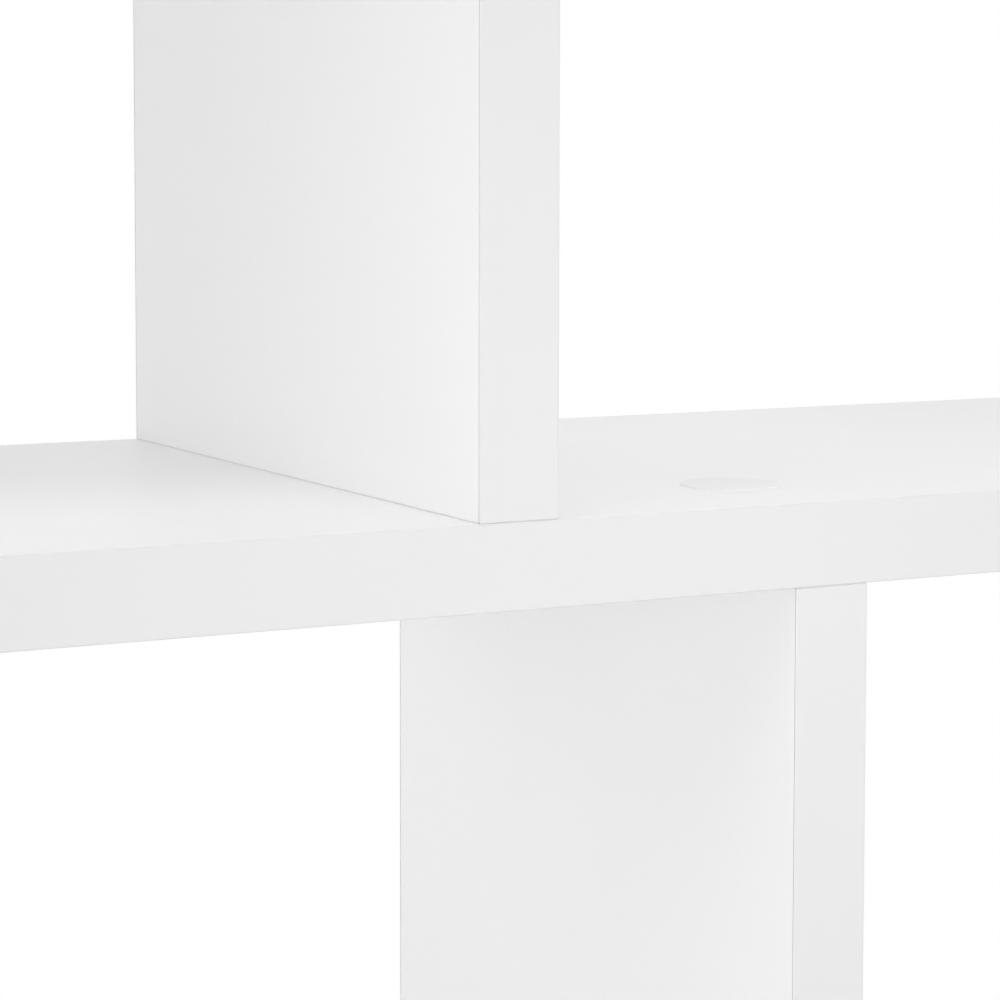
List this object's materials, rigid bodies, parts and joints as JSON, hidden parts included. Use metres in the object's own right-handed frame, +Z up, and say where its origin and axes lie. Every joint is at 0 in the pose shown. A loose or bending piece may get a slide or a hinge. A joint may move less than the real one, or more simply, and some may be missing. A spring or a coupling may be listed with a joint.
{
  "type": "wall shelf",
  "caption": "White S-shaped wall shelf of faced boards: a long centre shelf with an open box above its left half and one below its right half, hung on keyhole plates.",
  "frame": {"origin": "middle of the centre shelf's back edge, on the wall plane", "axes": "+X to the right along the centre shelf, +Y to the wall, +Z up"},
  "size_m": [0.85, 0.16, 0.5256],
  "materials": {
    "white_board": "satin white melamine facing on chipboard",
    "white_edging": "satin white edging strip",
    "cover_film": "matt white self-adhesive film",
    "zinc_screw": "bright zinc plated",
    "zinc_plate": "zinc plated sheet",
    "beech": "raw beech dowel"
  },
  "bodies": {
    "root": {"top_shelf": "white_board", "centre_shelf": "white_board", "bottom_shelf": "white_board", "upper_end_panel": "white_board", "upper_divider": "white_board", "lower_divider": "white_board", "lower_end_panel": "white_board", "top_shelf_front_edging": "white_edging", "top_shelf_back_edging": "white_edging", "top_shelf_left_edging": "white_edging", "top_shelf_right_edging": "white_edging", "centre_shelf_front_edging": "white_edging", "centre_shelf_back_edging": "white_edging", "centre_shelf_left_edging": "white_edging", "centre_shelf_right_edging": "white_edging", "bottom_shelf_front_edging": "white_edging", "bottom_shelf_back_edging": "white_edging", "bottom_shelf_left_edging": "white_edging", "bottom_shelf_right_edging": "white_edging", "upper_end_panel_front_edging": "white_edging", "upper_end_panel_back_edging": "white_edging", "upper_divider_front_edging": "white_edging", "upper_divider_back_edging": "white_edging", "lower_divider_front_edging": "white_edging", "lower_divider_back_edging": "white_edging", "lower_end_panel_front_edging": "white_edging", "lower_end_panel_back_edging": "white_edging", "top_shelf_screws": "zinc_screw", "centre_shelf_upper_screws": "zinc_screw", "centre_shelf_lower_screws": "zinc_screw", "bottom_shelf_screws": "zinc_screw", "upper_hanger_screws": "zinc_screw", "lower_hanger_screws": "zinc_screw", "upper_left_hanger": "zinc_plate", "upper_right_hanger": "zinc_plate", "lower_left_hanger": "zinc_plate", "lower_right_hanger": "zinc_plate", "top_shelf_dowels": "beech", "centre_shelf_upper_dowels": "beech", "centre_shelf_lower_dowels": "beech", "bottom_shelf_dowels": "beech", "top_shelf_covers": "cover_film", "centre_shelf_top_covers": "cover_film", "centre_shelf_bottom_covers": "cover_film", "bottom_shelf_covers": "cover_film"}
  },
  "joints": []
}
